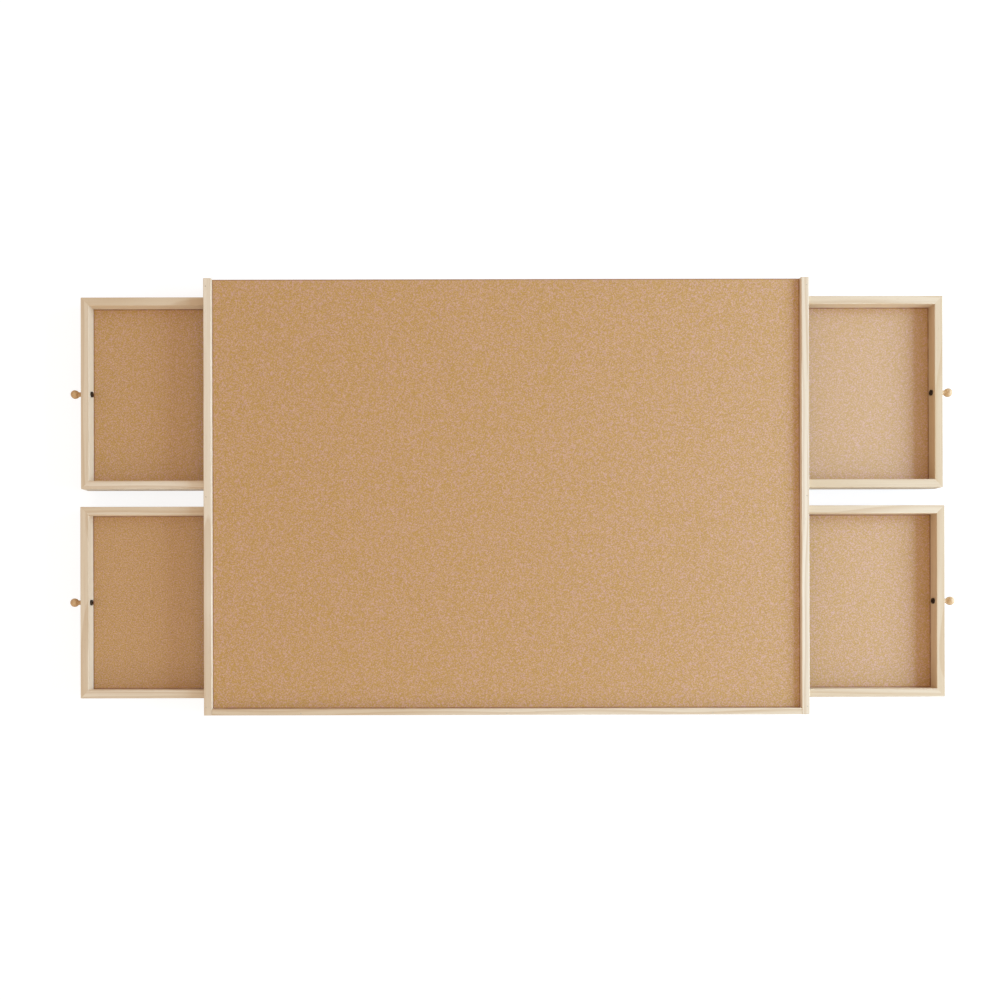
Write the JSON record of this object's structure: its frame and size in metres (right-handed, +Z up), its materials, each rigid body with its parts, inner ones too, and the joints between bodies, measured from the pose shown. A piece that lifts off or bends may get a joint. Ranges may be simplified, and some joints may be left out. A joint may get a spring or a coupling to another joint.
{
  "type": "jigsaw puzzle board",
  "caption": "Table-top jigsaw board: a rimmed fibreboard work surface in a pine frame, with shallow knobbed drawers that slide out at both sides for sorting pieces.",
  "frame": {"origin": "on the table, under the centre of the board", "axes": "+X to the right along the board's length, +Y to the back edge with no rim, +Z up"},
  "size_m": [1.127, 0.55, 0.0384],
  "materials": {
    "pine": "sanded, unvarnished",
    "turned_wood": "turned, unvarnished",
    "fibreboard": "smooth, unvarnished",
    "steel": "plain"
  },
  "bodies": {
    "board": {"work_surface": "fibreboard", "left_rim": "pine", "right_rim": "pine", "front_rim": "pine", "front_rail": "pine", "back_rail": "pine", "centre_divider": "pine", "cross_rail": "pine", "front_runner": "pine", "centre_runner": "pine", "back_runner": "pine", "runner_brads": "steel", "rim_brads": "steel"},
    "back_left_drawer": {"back_left_drawer_front": "pine", "back_left_drawer_back": "pine", "back_left_drawer_near_side": "pine", "back_left_drawer_far_side": "pine", "back_left_drawer_bottom": "fibreboard", "back_left_drawer_knob": "turned_wood", "back_left_drawer_knob_screw": "steel", "back_left_drawer_corner_brads": "steel"},
    "front_left_drawer": {"front_left_drawer_front": "pine", "front_left_drawer_back": "pine", "front_left_drawer_near_side": "pine", "front_left_drawer_far_side": "pine", "front_left_drawer_bottom": "fibreboard", "front_left_drawer_knob": "turned_wood", "front_left_drawer_knob_screw": "steel", "front_left_drawer_corner_brads": "steel"},
    "back_right_drawer": {"back_right_drawer_front": "pine", "back_right_drawer_back": "pine", "back_right_drawer_near_side": "pine", "back_right_drawer_far_side": "pine", "back_right_drawer_bottom": "fibreboard", "back_right_drawer_knob": "turned_wood", "back_right_drawer_knob_screw": "steel", "back_right_drawer_corner_brads": "steel"},
    "front_right_drawer": {"front_right_drawer_front": "pine", "front_right_drawer_back": "pine", "front_right_drawer_near_side": "pine", "front_right_drawer_far_side": "pine", "front_right_drawer_bottom": "fibreboard", "front_right_drawer_knob": "turned_wood", "front_right_drawer_knob_screw": "steel", "front_right_drawer_corner_brads": "steel"}
  },
  "joints": [
    {"name": "back_left_slide", "type": "slide", "parent": "board", "child": "back_left_drawer", "axis": [-1, 0, 0], "range_m": [-0.158, 0.132]},
    {"name": "front_left_slide", "type": "slide", "parent": "board", "child": "front_left_drawer", "axis": [-1, 0, 0], "range_m": [-0.159, 0.131]},
    {"name": "back_right_slide", "type": "slide", "parent": "board", "child": "back_right_drawer", "axis": [1, 0, 0], "range_m": [-0.173, 0.117]},
    {"name": "front_right_slide", "type": "slide", "parent": "board", "child": "front_right_drawer", "axis": [1, 0, 0], "range_m": [-0.175, 0.115]}
  ]
}
